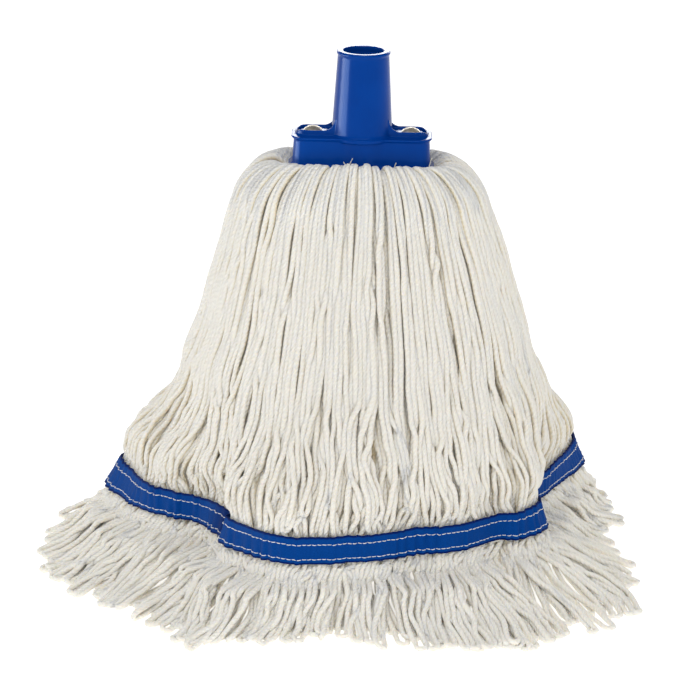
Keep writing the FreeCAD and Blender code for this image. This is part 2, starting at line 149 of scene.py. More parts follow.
# ---- The yarn's routes. Each loop is one yarn: from the clamp in the hood down to the
# floor, round its looped end, and back up to the clamp.
YARN_RADIUS = 1.75 * MM
OUTER_LOOPS = 244
UNDER_LOOPS = 156  # a second layer that closes the gaps between the outer ones
CORE_LOOPS = 40  # hang upright in the middle
POINTS = 92  # on each leg while the routes are worked out
SIDE_BY_SIDE = 2.8  # millimetres between neighbours at the surface, where they press together
FRINGE_LOCKS = 46  # tufts that the fringe falls into

# The tail band in plan, in millimetres, and how much further out its lower edge stands than its
# upper. It has a fold at each end of the front.
BAND_PATH = [
    (-158, -8, 11), (-147, -30, 8), (-134, -50, 3), (-117, -62, 1), (-103, -67, 0),
    (-92, -76, 2), (-84, -88, 4), (-76, -97, 3), (-80, -102, 3), (-74, -109, 2),
    (-60, -122, 0), (-44, -132, 0), (-26, -132, 0), (-8, -130, 0), (17, -125, 0),
    (30, -117, 0), (43, -112, 0), (60, -110, 0), (76, -100, 0), (89, -89, 0),
    (103, -86, 2), (115, -75, 5), (121, -62, 6), (116, -48, 3), (110, -37, 0),
    (113, -28, 0), (121, -19, 0), (131, 0, 1), (141, 20, 3), (150, 42, 7),
    (152, 56, 8), (145, 78, 2), (122, 116, 0), (80, 142, 0), (30, 150, 0),
    (-30, 149, 0), (-80, 139, 0), (-120, 110, 0), (-140, 70, 0), (-149, 34, 1),
    (-155, 10, 6),
]
BAND_LOW = 38 * MM
BAND_WIDTH = 18 * MM
# Where the looped ends lie on the floor: x, y and the direction they come from
FLOOR_PATH = [
    (-200, -22, 186), (-200, -54, 193), (-189, -88, 203), (-162, -111, 213), (-143, -124, 221),
    (-128, -141, 228), (-119, -155, 234), (-106, -168, 240), (-94, -176, 245), (-80, -162, 250),
    (-60, -167, 255), (-38, -165, 260), (-10, -153, 267), (6, -166, 273), (34, -171, 282),
    (58, -172, 291), (76, -163, 299), (92, -171, 305), (104, -171, 311), (125, -154, 316),
    (146, -136, 322), (161, -117, 328), (172, -94, 335), (173, -66, 341), (166, -24, 350),
    (179, 22, 363), (177, 48, 373), (168, 88, 387), (150, 118, 402), (113, 145, 418),
    (60, 163, 434), (0, 168, 450), (-60, 163, 467), (-118, 145, 484), (-158, 108, 502),
    (-171, 58, 519), (-190, 16, 533),
]
# The bell between: level, then how far its surface is from the axis to the left, right, front, back
BELL = [
    (226, 83, 84, 46, 47), (205, 88, 91.5, 57, 60), (180, 95, 99, 70, 75),
    (157, 101, 107, 82, 88), (135, 109, 112, 93, 100), (112, 110, 120, 104, 112),
    (92, 114, 124, 113, 123), (76, 130, 134, 121, 133),
]
# How much of the band's own folds the bell has at each level, in millimetres
BAND_PULL = ((76, 92, 112, 135), (0.62, 0.34, 0.12, 0.0))
# Above the bell, over the rim: half-width, half-depth, level at the ends and at the front, how
# square the plan is, how far the surface's normal is lifted, and the bulge in the front
SHOULDER = [
    (48.5, 20.8, 255.8, 257.2, 0.36, 80, 3.6),
    (55.5, 27.0, 259.8, 261.6, 0.40, 78, 2.2),
    (66.5, 33.5, 256.2, 255.4, 0.62, 55, 0.8),
    (77.5, 40.5, 243.5, 241.6, 0.86, 35, 0.0),
]
PARTING = 264.6  # degrees: the front yarns part there a little, just left of the middle


def closed_by_angle(keys):
    """A closed smooth curve whose points each have a direction: rows of x, y and angle."""
    rows = np.array(keys, float)
    turn = np.array([0, 0, 360.0])
    whole = np.concatenate([rows[-3:] - turn, rows, rows[:3] + turn])
    dense = catmull(whole, 24)
    order = np.argsort(dense[:, 2], kind="stable")
    return dense[order]


floor_curve = closed_by_angle(FLOOR_PATH)


def floor_at(angle):
    wrapped = 180 + (angle - 180) % 360
    x = np.interp(wrapped, floor_curve[:, 2], floor_curve[:, 0])
    y = np.interp(wrapped, floor_curve[:, 2], floor_curve[:, 1])
    return x * MM, y * MM


band_keys = np.array(BAND_PATH, float) * MM
band_curve = catmull(band_keys, 40, closed=True)
band_curve = np.concatenate([band_curve, band_curve[:1]])
band_along = lengths_along(band_curve[:, :2])
BAND_LENGTH = float(band_along[-1])
band_share = band_along / BAND_LENGTH
# the direction in the bell that the yarn at each place of the band comes from
half_x = np.where(band_curve[:, 0] < 0, BELL[-1][1], BELL[-1][2])
half_y = np.where(band_curve[:, 1] < 0, BELL[-1][3], BELL[-1][4])
turned = np.degrees(np.arctan2(band_curve[:, 1] / half_y, band_curve[:, 0] / half_x))
turned = np.maximum.accumulate(np.degrees(np.unwrap(np.radians(turned % 360))))
band_angle = turned[0] + (turned - turned[0]) * 360 / (turned[-1] - turned[0])


def band_at(share, outward=0.0):
    """Points of the band's path, moved outward along its normal."""
    at = np.asarray(share) % 1.0
    x = np.interp(at, band_share, band_curve[:, 0])
    y = np.interp(at, band_share, band_curve[:, 1])
    step = 2.5 * MM / BAND_LENGTH
    ahead, behind = (at + step) % 1.0, (at - step) % 1.0
    dx, dy = (
        np.interp(ahead, band_share, band_curve[:, axis])
        - np.interp(behind, band_share, band_curve[:, axis])
        for axis in (0, 1)
    )
    long = np.hypot(dx, dy)
    normal = np.stack([dy / long, -dx / long], axis=-1)
    return np.stack([x, y], axis=-1) + normal * np.asarray(outward)[..., None], normal


def lean_at(share, across):
    """How far out the band's surface stands there because it leans."""
    lean = np.interp(np.asarray(share) % 1.0, band_share, band_curve[:, 2])
    return (0.5 - across) * lean


def angle_at(share):
    """The direction, in degrees, that the yarn at this share of the band comes from."""
    return np.interp(np.asarray(share) % 1.0, band_share, band_angle)


def hood_edge(angle):
    """The inside of the hood's rim in a direction: an oblong with a bulge in each long side."""
    c, s = np.cos(angle), np.sin(angle)
    x = 38.5 * c
    y = np.sign(s) * (10.8 * np.abs(s) ** 0.35 + 4.0 * np.exp(-((x / 10.0) ** 2)) * np.abs(s))
    return x * MM, y * MM


def routes(share, depth_of, reach, pile):
    """Rows of points for each leg, from the clamp to the floor, and each row's outward normal.

    share is the leg's place along the band, depth_of gives how deep each row lies under the
    bell's surface, reach how much further than the floor path its end lies, and pile how many
    millimetres higher it falls over the yarn under it."""
    angle = np.radians(angle_at(share))
    c, s = np.cos(angle), np.sin(angle)
    end = np.abs(c) ** 4
    rows, normals = [], []

    def add(x, y, z, normal_x, normal_y, lift=0.0):
        long = np.hypot(normal_x, normal_y)
        flat = np.cos(lift)
        up = np.sin(lift) + 0 * x
        normals.append(np.stack([normal_x / long * flat, normal_y / long * flat, up], axis=-1))
        rows.append(np.stack([x, y, z + 0 * x], axis=-1))

    edge_x, edge_y = hood_edge(angle)
    flat_x, flat_y = c * 0.25, s
    add(34 * MM * c, 3 * MM * np.sign(s), 271 * MM, flat_x, flat_y)
    add(37 * MM * c, 0.72 * edge_y, 267.5 * MM, flat_x, flat_y)
    add(edge_x, edge_y, 261 * MM, flat_x, flat_y)
    out_y = edge_y + 3.6 * MM * np.sign(s) * np.abs(s) ** 0.4
    add(edge_x + 4.4 * MM * c, out_y, 254.4 * MM, flat_x, flat_y, math.radians(50))
    # over the shoulder: the yarns at the ends arch up before they fall
    for along, across, level_end, level_front, power, lift, bulge in SHOULDER:
        bulged = bulge * np.exp(-((along * c / 12) ** 2))
        add(
            along * MM * c,
            (across * np.abs(s) ** power + bulged) * np.sign(s) * MM,
            (level_end * end + level_front * (1 - end) + 0.8 * bulged) * MM,
            across * c,
            along * s,
            math.radians(lift),
        )
    behind, band_normal = band_at(share, -3.2 * MM)
    for level, left, right, front, back in BELL:
        a = np.where(c < 0, left, right) * MM
        b = np.where(s < 0, front, back) * MM
        # the folds of the band reach up into the bell above it
        near = np.interp(level, *BAND_PULL)
        place = np.stack([a * c, b * s], axis=-1) * (1 - near) + behind * near
        out = np.stack([b * c, a * s], axis=-1)
        out = unit(out) * (1 - near) + band_normal * near
        add(*place.T, level * MM, *out.T, math.radians(22))
    for level, outward, lift in ((62, -3.4, 20), (48, -3.2, 12), (35, -2.6, 20)):
        share_up = (level * MM - BAND_LOW) / BAND_WIDTH
        place, normal = band_at(share, outward * MM + lean_at(share, np.clip(share_up, 0, 1)))
        add(*place.T, level * MM, *normal.T, math.radians(lift))
    low, normal = band_at(share, -1.0 * MM + lean_at(share, 0))
    run = np.stack(floor_at(np.degrees(angle)), axis=-1) - low
    far = np.linalg.norm(run, axis=-1, keepdims=True)
    run = run / far
    far = np.maximum(far + reach[:, None], 9 * MM)
    for part, level, lift in ((0.15, 28, 25), (0.42, 17, 40), (0.73, 8.0, 55), (1.0, 3.0, 60)):
        place = low + run * far * part
        high = level + pile * math.sin(math.pi * min(part + 0.15, 1.0))
        add(*place.T, high * MM, *run.T, math.radians(lift))
    rows = np.stack(rows, axis=1)
    normals = np.stack(normals, axis=1)
    rows = rows - normals * depth_of(rows[..., 2])[..., None]
    return rows, normals


def perimeter_rank():
    """How many yarns side by side the bell's surface holds at each level, from the top down."""
    levels = np.array([271, 254, 240, 226, 205, 180, 157, 135, 112, 92, 76, 50, 20, 0]) * MM
    around = np.array([210, 240, 380, 415, 470, 540, 597, 662, 737, 802, 858, 945, 1060, 1150])
    return levels, around / SIDE_BY_SIDE


def share_of_floor(part):
    """The share of the band whose yarn ends at a part of the way round the floor path."""
    along = lengths_along(floor_curve[:, :2])
    angle = np.interp(np.asarray(part) * along[-1], along, floor_curve[:, 2])
    return np.interp(band_angle[0] + (angle - band_angle[0]) % 360, band_angle, band_share)


def pairs_of_legs(count, start, gap, even_on_floor=False):
    """Each loop's two places along the band. Neighbours in time are far apart in place, so the
    first n loops are evenly spread for every n: those are the ones at the surface at the top."""
    centre = (np.arange(count) * 0.6180339887 + start) % 1.0
    centre = centre + rng.normal(0, 0.10 / count, count)
    if even_on_floor:
        centre = share_of_floor(centre % 1.0)
    half = gap / 2 / BAND_LENGTH
    return np.stack([centre - half, centre + half], axis=1).reshape(-1) % 1.0


def lock_edges(count, seed):
    source = np.random.default_rng(seed)
    edges = np.cumsum(source.uniform(0.6, 1.4, count))
    return np.concatenate([[0], edges / edges[-1]])


def pull_to_lock(share, edges):
    """The signed distance from each leg to the middle of its lock, and the lock's number."""
    index = np.clip(np.searchsorted(edges, share, side="right") - 1, 0, len(edges) - 2)
    middle = (edges[index] + edges[index + 1]) / 2
    return middle - share, index


def outer_legs():
    share = pairs_of_legs(OUTER_LOOPS, 0.21, 3.4 * MM)
    rank = np.repeat(np.arange(OUTER_LOOPS) * 2.0, 2)
    levels, room = perimeter_rank()
    surfaces = np.interp(rank, room, levels)  # the level at which the leg reaches the surface

    parted = np.exp(-(((angle_at(share) % 360 - PARTING) / 1.2) ** 2))[:, None]

    def depth_of(z):
        under = np.clip((z - surfaces[:, None]) / (70 * MM), 0, 1.2)
        at_rim = smooth(z, 250 * MM, 262 * MM)
        sunk = parted * 2.6 * smooth(z, 120 * MM, 170 * MM) * (1 - at_rim)
        return (under * (5.5 - 1.0 * at_rim) + sunk) * MM

    _, lock = pull_to_lock(share, lock_edges(FRINGE_LOCKS, 11))
    reach = rng.normal(0, 3.0, FRINGE_LOCKS)[lock]
    reach += np.repeat(rng.uniform(-13, 3.0, OUTER_LOOPS), 2)
    pile = rng.uniform(-2.0, 5.0, FRINGE_LOCKS)[lock]
    pile += np.repeat(rng.uniform(-1.5, 1.5, OUTER_LOOPS), 2)
    return share, *routes(share, depth_of, reach * MM, pile)


def under_legs():
    """Loops that lie right behind the outer ones all the way down."""
    share = pairs_of_legs(UNDER_LOOPS, 0.4, 4.0 * MM, even_on_floor=True)
    deeper = np.repeat(rng.uniform(-0.6, 2.6, UNDER_LOOPS), 2)[:, None]

    def depth_of(z):
        depth = np.interp(z / MM, [0, 20, 42, 100, 240, 262], [0.0, 1.0, 3.6, 4.4, 4.4, 3.0])
        return (depth + deeper * smooth(z, 20 * MM, 80 * MM)) * MM

    reach = np.repeat(rng.uniform(-26, -1, UNDER_LOOPS), 2) * MM
    return share, *routes(share, depth_of, reach, np.full(len(share), -3.0))


def core_legs():
    """Loops that hang inside the bell, more upright than the others."""
    number = np.arange(CORE_LOOPS)
    share = pairs_of_legs(CORE_LOOPS, 0.7, 6.0 * MM)
    depth = np.linspace(0.14, 0.75, CORE_LOOPS)[np.argsort(number * 7 % CORE_LOOPS)]
    near = np.repeat(np.sqrt(depth), 2)
    angle = np.radians(angle_at(share))
    c, s = np.cos(angle), np.sin(angle)
    x, y = floor_at(np.degrees(angle))
    rows = []
    for level, along, across, spread in (
        (271, 34, 3, 0.0), (265, 35, 7.5, 0.0), (256, 36, 9, 0.0), (243, 46, 14, 0.0),
        (225, 60, 24, 0.05), (190, 72, 44, 0.15), (140, 78, 56, 0.35), (90, 82, 64, 0.6),
        (45, 84, 68, 0.8), (15, 84, 70, 0.93), (5, 84, 70, 1.0),
    ):
        w = smooth(level, 262, 200)
        ax = along * c * ((1 - w) + near * w) * MM
        ay = across * s * ((1 - w) + near * w) * MM
        px = ax * (1 - spread) + 0.85 * near * x * spread
        py = ay * (1 - spread) + 0.85 * near * y * spread
        rows.append(np.stack([px, py, level * MM + 0 * px], axis=-1))
    rows = np.stack(rows, axis=1)
    outward = np.stack([c, s, 0 * c], axis=-1)[:, None, :] + np.zeros_like(rows)
    return share, rows, outward


def along_rows(rows, normals):
    """Evenly spaced points on each leg, with the normals carried along."""
    dense = catmull(rows, 10)
    normal = catmull(normals, 10)
    return resampled(dense, POINTS), unit(carried(normal, dense, POINTS))


def tangents(points):
    return unit(np.gradient(points, axis=1))


def wander(points, normals, share, seed, locks):
    """Moves the legs sideways into locks and gives each its own slow drift and crimp."""
    z = points[..., 2]
    side = unit(np.cross(normals, tangents(points)))
    free = smooth(z, 250 * MM, 215 * MM)
    banded = 1 - 0.85 * np.exp(-(((z - 48 * MM) / (13 * MM)) ** 2))
    loose = smooth(z, 150 * MM, 85 * MM)
    splay = smooth(z, 34 * MM, 4 * MM)
    count = len(points)
    drift = smooth_noise(count, POINTS, 5, seed) * (0.9 + 2.2 * loose) * MM
    crimp = smooth_noise(count, POINTS, 15, seed + 1) * (0.15 + 0.9 * loose) * MM
    ripple = smooth_noise(count, POINTS, 38, seed + 2) * (0.10 + 0.6 * loose) * MM
    in_out = smooth_noise(count, POINTS, 9, seed + 3) * (0.25 + 0.9 * loose) * MM
    pull = 0
    if locks:
        scale = np.interp(z / MM, [0, 50, 110, 160, 257], [0.45, 0.6, 0.7, 0.5, 0.2])
        for number, (lock_count, strong) in enumerate(locks):
            edges = lock_edges(lock_count, seed + 20 + number)
            away, index = pull_to_lock(share, edges)
            shape = smooth_noise(lock_count, POINTS, 4, seed + 30 + number) * 0.35 + 1.0
            pull = pull + away[:, None] * BAND_LENGTH * strong * np.clip(shape[index], 0, 1.6)
            sway = smooth_noise(lock_count, POINTS, 7, seed + 40 + number)
            drift = drift + sway[index] * (0.5 + 2.4 * loose + 1.8 * splay) * MM
            lean = np.random.default_rng(seed + 60 + number).normal(0, 1, lock_count)
            drift = drift + lean[index][:, None] * splay * 3.4 * MM
        pull = pull * scale * (0.10 + 0.90 * free)
    sideways = (drift + crimp + ripple) * free * banded + pull * banded
    return points + side * sideways[..., None] + normals * (in_out * free * banded)[..., None]


LOCKS = [(FRINGE_LOCKS, 0.26), (20, 0.07)]  # how many locks, and how strongly they draw together
YARN_LAYERS = []
for make_legs, seed, locks in (
    (outer_legs, 100, LOCKS),
    (under_legs, 200, LOCKS[1:]),
    (core_legs, 300, []),
):
    share, *rows = make_legs()
    legs, leg_normals = along_rows(*rows)
    YARN_LAYERS.append((wander(legs, leg_normals, share, seed, locks), leg_normals))


YARNS_APART = 1.66  # radii between the middles of two yarns that press on each other
PUSH_ROUNDS = 44
BAND_CHECKS = 480  # places round the band where the yarn behind it is held back
RIBBON_OUT = 0.3 * MM
RIBBON_HALF = 0.3 * MM
check_share = np.arange(BAND_CHECKS) / BAND_CHECKS
check_points, check_normals = band_at(check_share)


def behind_band(points):
    """Moves points that stand outside the tail band, or just over or under it, back behind it."""
    over = np.abs(points[..., 2] - BAND_LOW - BAND_WIDTH / 2) - BAND_WIDTH / 2 - 2 * MM
    chosen = over < 12 * MM
    moved = points[chosen]
    d = (moved[:, None, :2] - check_points[None, :, :]).astype(np.float32)
    far = np.sqrt((d * d).sum(-1))
    across = np.clip((moved[:, 2] - BAND_LOW) / BAND_WIDTH, -0.1, 1.1)
    allowed = RIBBON_OUT - RIBBON_HALF - 1.25 * YARN_RADIUS + np.clip(over[chosen], 0, None) * 0.5
    out = (d * check_normals).sum(-1) - allowed[:, None]
    out -= lean_at(check_share[None, :], across[:, None])
    # in a fold the band lies on more than one side, so every stretch nearby holds the yarn back
    out = np.where(far < far.min(1, keepdims=True) + 2.5 * MM, out, -1.0)
    worst = out.argmax(1)
    back = np.clip(out[np.arange(len(moved)), worst], 0, 4 * MM)
    moved[:, :2] -= check_normals[worst] * back[:, None]
    points[chosen] = moved


def relaxed(points, normals, held, rounds):
    """Pushes the legs apart where they overlap, and keeps them above the floor and under the
    surface that holds them. held is how far each point may stand out of its first place."""
    points = points.copy()
    first = points.copy()
    legs, count, _ = points.shape
    apart_full = YARNS_APART * YARN_RADIUS
    flat_count = legs * count
    pairs = None
    for turn in range(rounds):
        if turn % 8 == 0:
            found = []
            for k in range(count):
                p = points[:, k, :].astype(np.float32)
                d = p[:, None, :] - p[None, :, :]
                near = np.einsum("ijk,ijk->ij", d, d) < (6.5 * MM) ** 2
                i, j = np.nonzero(np.triu(near, 1))
                found.append(np.stack([i * count + k, j * count + k]))
            pairs = np.concatenate(found, axis=1)
        flat = points.reshape(-1, 3)
        tangent = tangents(points).reshape(-1, 3)
        i, j = pairs
        d = flat[i] - flat[j]
        t = unit(tangent[i] + tangent[j])
        d -= t * (d * t).sum(1, keepdims=True)
        far = np.maximum(np.linalg.norm(d, axis=1), 1e-5)
        level = (flat[i, 2] + flat[j, 2]) / 2
        apart = apart_full * (1 - 0.72 * smooth(level, 205 * MM, 250 * MM))
        push = np.clip(apart - far, 0, None) / far * 0.30
        d *= push[:, None]
        move = np.empty((flat_count, 3))
        for axis in range(3):
            one, other = (np.bincount(k, d[:, axis], flat_count) for k in (i, j))
            move[:, axis] = one - other
        move = move.reshape(legs, count, 3)
        for _ in range(2):
            padded = np.concatenate([move[:, :1], move, move[:, -1:]], axis=1)
            move = 0.25 * padded[:, :-2] + 0.5 * padded[:, 1:-1] + 0.25 * padded[:, 2:]
        long = np.linalg.norm(move, axis=-1, keepdims=True)
        move *= np.minimum(1.0, 0.6 * MM / np.maximum(long, 1e-9))
        points += move
        out = ((points - first) * normals).sum(-1)
        points -= normals * np.clip(out - held, 0, None)[..., None]
        points[..., 2] = np.maximum(points[..., 2], YARN_RADIUS * 1.02)
        if turn % 2 == 1:
            behind_band(points)
    return points


everything = np.concatenate([legs for legs, _ in YARN_LAYERS])
every_normal = np.concatenate([leg_normals for _, leg_normals in YARN_LAYERS])
# how far a leg may be pushed out of its first place, by its level
held = np.interp(
    everything[..., 2] / MM, [0, 16, 28, 35, 62, 75, 200, 240], [5, 4, 1.2, 0, 0, 1.2, 1, 0.2]
)
everything = relaxed(everything, every_normal, held * MM, PUSH_ROUNDS)
outer, under, core = np.split(everything, np.cumsum([len(legs) for legs, _ in YARN_LAYERS])[:2])


def loop_lines(legs, rings, half_gap):
    """Joins each pair of legs with a rounded end into one line, and spaces its points evenly."""
    lines = []
    for a, b in zip(legs[0::2], legs[1::2]):
        a, b = a.copy(), b.copy()
        across = b[-1] - a[-1]
        across[2] *= 0.4
        across = unit(across)
        forward = (a[-1] - a[-4]) + (b[-1] - b[-4])
        forward[2] *= 0.3
        forward -= across * forward.dot(across)
        forward = unit(forward)
        spread = smooth(np.arange(POINTS), POINTS - 8, POINTS - 2)[:, None]
        middle = (a + b) / 2
        a = a * (1 - spread) + (middle - across * half_gap) * spread
        b = b * (1 - spread) + (middle + across * half_gap) * spread
        centre = (a[-1] + b[-1]) / 2
        bend = [
            centre - across * half_gap * math.cos(t) + forward * half_gap * math.sin(t)
            for t in np.radians([30, 60, 90, 120, 150])
        ]
        lines.append(np.concatenate([a, bend, b[::-1]]))
    return resampled([catmull(line, 4) for line in lines], rings)


LOOP_END = 3.2 * MM  # radius of a loop's rounded end
outer_lines = loop_lines(outer, 290, LOOP_END)
under_lines = loop_lines(under, 200, LOOP_END)
core_lines = loop_lines(core, 120, LOOP_END)
for lines in (outer_lines, under_lines, core_lines):
    lines[..., 2] = np.maximum(lines[..., 2], YARN_RADIUS * 1.02)


# ---- Yarn: a soft round thread of three plies, whose twist is in its material ----
def frames(lines):
    """Tangents and two sides that don't twist, along each of (n, rings, 3) lines."""
    t = tangents(lines)
    side = unit(np.cross(t[:, 0], np.array([0.31, 0.17, 0.93])))
    sides = [side]
    for k in range(1, lines.shape[1]):
        side = unit(side - t[:, k] * (side * t[:, k]).sum(1, keepdims=True))
        sides.append(side)
    u = np.stack(sides, axis=1)
    return t, u, np.cross(t, u)


FIBRE_ALONG = 0.22  # fibre coordinate for each millimetre of yarn
PLY_TURN = 10.0  # millimetres of yarn for one turn of its plies


def bell_outward(places):
    """Roughly the direction out of the yarn's mass at each place."""
    level = places[..., 2] / MM
    lift = np.interp(level, [0, 20, 40, 60, 225, 250, 260], [1.6, 1.1, 0.3, 0.35, 0.45, 1.6, 3.0])
    flat = unit(places[..., :2] * np.array([1.0, 1.35]))
    return unit(np.concatenate([flat, lift[..., None]], axis=-1))


def yarn_tubes(lines, around, seed, depth, radius=YARN_RADIUS):
    """Vertices, fibre coordinates and looks of (n, rings, around) tubes on the lines. The looks are
    the yarn's own tint, how squarely the surface faces out of the mass, and its depth in it: the
    material paints shade from the last two."""
    source = np.random.default_rng(seed)
    count, rings, _ = lines.shape
    _, u, v = frames(lines)
    along = lengths_along(lines)
    thick = radius * (1 + 0.06 * smooth_noise(count, rings, 40, seed + 1))
    thick *= 1 - 0.3 * smooth(lines[..., 2], 262 * MM, 268 * MM)
    thick *= 1 + 0.09 * smooth(lines[..., 2], 90 * MM, 150 * MM)
    own = np.arange(around) * 2 * math.pi / around
    round_u = np.cos(own) * (1 + 0.05 * np.cos(2 * own))
    round_v = np.sin(own)
    away = u[:, :, None, :] * round_u[:, None] + v[:, :, None, :] * round_v[:, None]
    places = lines[:, :, None, :] + away * thick[..., None, None]
    facing = (away * bell_outward(lines)[:, :, None, :]).sum(-1)
    offset = source.uniform(0, 50, (count, 1))
    shape = places.shape[:3]
    run = (along / MM * FIBRE_ALONG + offset)[..., None]
    fibre = [np.broadcast_to(part, shape) for part in (np.cos(own) * 2.0, np.sin(own) * 2.0, run)]
    tint = np.broadcast_to(source.normal(0, 1, (count, 1, 1)), shape)
    look = [tint, facing, np.full(shape, depth)]
    return places, np.stack(fibre, axis=-1), np.stack(look, axis=-1)


def tube_faces(rings, around):
    ring = np.arange(rings - 1)[:, None] * around
    j = np.arange(around)[None, :]
    after = (j + 1) % around
    quads = np.stack([ring + j, ring + after, ring + after + around, ring + j + around], axis=-1)
    return quads.reshape(-1, 4)


def many_tubes(count, rings, around):
    """The quads and the two end caps of count tubes, one after the other."""
    one = tube_faces(rings, around)
    each = rings * around
    bases = np.arange(count) * each
    quads = np.concatenate([one + base for base in bases])
    caps = []
    for base in bases:
        caps.append(base + np.arange(around)[::-1])
        caps.append(base + each - around + np.arange(around))
    return quads, caps


def new_mesh(name, places, quads, caps=(), attributes=()):
    """A mesh object from arrays. caps are polygons with more corners than four, and attributes are
    pairs of a name and a vector for each vertex."""
    mesh = bpy.data.meshes.new(name)
    places = np.ascontiguousarray(places.reshape(-1, 3), np.float32)
    corners = np.concatenate([quads.reshape(-1), *(np.asarray(cap) for cap in caps)])
    sizes = np.concatenate([np.full(len(quads), 4), [len(cap) for cap in caps]]).astype(np.int32)
    starts = np.concatenate([[0], np.cumsum(sizes)[:-1]]).astype(np.int32)
    mesh.vertices.add(len(places))
    mesh.vertices.foreach_set("co", places.reshape(-1))
    mesh.loops.add(len(corners))
    mesh.loops.foreach_set("vertex_index", corners.astype(np.int32))
    mesh.polygons.add(len(sizes))
    mesh.polygons.foreach_set("loop_start", starts)
    mesh.polygons.foreach_set("use_smooth", np.ones(len(sizes), bool))
    mesh.update(calc_edges=True)
    for label, values in attributes:
        item = mesh.attributes.new(label, "FLOAT_VECTOR", "POINT")
        item.data.foreach_set("vector", np.ascontiguousarray(values, np.float32).reshape(-1))
    mesh.validate()
    return placed(name, mesh)


def yarn_piece(name, chosen, tubes):
    """One mesh of the chosen loops."""
    places, fibre, look = (part[chosen] for part in tubes)
    attributes = [("fibre", fibre.reshape(-1, 3)), ("look", look.reshape(-1, 3))]
    return new_mesh(name, places, *many_tubes(*places.shape[:3]), attributes)


# ---- Materials ----
class Material:
    """A node material that is written line by line."""

    def __init__(self, name):
        self.material = bpy.data.materials.new(name)
        self.material.use_nodes = True
        self.tree = self.material.node_tree
        self.shader = self.tree.nodes["Principled BSDF"]

    def node(self, kind, inputs=(), **settings):
        item = self.tree.nodes.new(kind)
        for name, value in settings.items():
            setattr(item, name, value)
        for name, value in inputs:
            item.inputs[name].default_value = value
        return item

    def link(self, source, target):
        self.tree.links.new(source, target)

    def feed(self, name, source):
        """Joins a node's output to the shader."""
        self.link(source, self.shader.inputs[name])

    def math(self, operation, *values):
        item = self.node("ShaderNodeMath", operation=operation)
        for number, value in enumerate(values):
            if isinstance(value, (int, float)):
                item.inputs[number].default_value = value
            else:
                self.link(value, item.inputs[number])
        return item.outputs[0]

    def attribute(self, name):
        return self.node("ShaderNodeAttribute", attribute_name=name).outputs["Vector"]

    def split(self, vector):
        item = self.node("ShaderNodeSeparateXYZ")
        self.link(vector, item.inputs[0])
        return item.outputs

    def mapped(self, value, end, low, high, **settings):
        """A value mapped From or To the range between low and high."""
        ends = [(end + " Min", low), (end + " Max", high)]
        item = self.node("ShaderNodeMapRange", ends, **settings)
        self.link(value, item.inputs["Value"])
        return item.outputs[0]

    def between(self, value, low, high):
        """A smooth step from 0 at low to 1 at high."""
        return self.mapped(value, "From", low, high, interpolation_type="SMOOTHSTEP")

    def noise(self, vector, scale, detail=2.0, rough=0.5):
        inputs = [("Scale", scale), ("Detail", detail), ("Roughness", rough)]
        item = self.node("ShaderNodeTexNoise", inputs)
        self.link(vector, item.inputs["Vector"])
        return item.outputs["Fac"]

    def ramp(self, value, stops):
        item = self.node("ShaderNodeValToRGB")
        ramp = item.color_ramp
        while len(ramp.elements) < len(stops):
            ramp.elements.new(0.5)
        for element, (place, colour) in zip(ramp.elements, stops):
            element.position = place
            element.color = (*colour, 1)
        self.link(value, item.inputs[0])
        return item.outputs["Color"]

    def mixed(self, factor, colour, other):
        """A colour output that goes over to one other colour as the factor goes to 1."""
        item = self.node("ShaderNodeMix", data_type="RGBA")
        self.link(factor, item.inputs["Factor"])
        self.link(colour, item.inputs["A"])
        item.inputs["B"].default_value = (*other, 1)
        return item.outputs["Result"]

    def bump(self, height, strength, distance, normal=None):
        item = self.node("ShaderNodeBump", [("Strength", strength), ("Distance", distance)])
        self.link(height, item.inputs["Height"])
        if normal is not None:
            self.link(normal, item.inputs["Normal"])
        return item.outputs["Normal"]

    def set(self, **values):
        for name, value in values.items():
            self.shader.inputs[name.replace("_", " ")].default_value = value
        return self


def object_point(m):
    return m.node("ShaderNodeTexCoord").outputs["Object"]


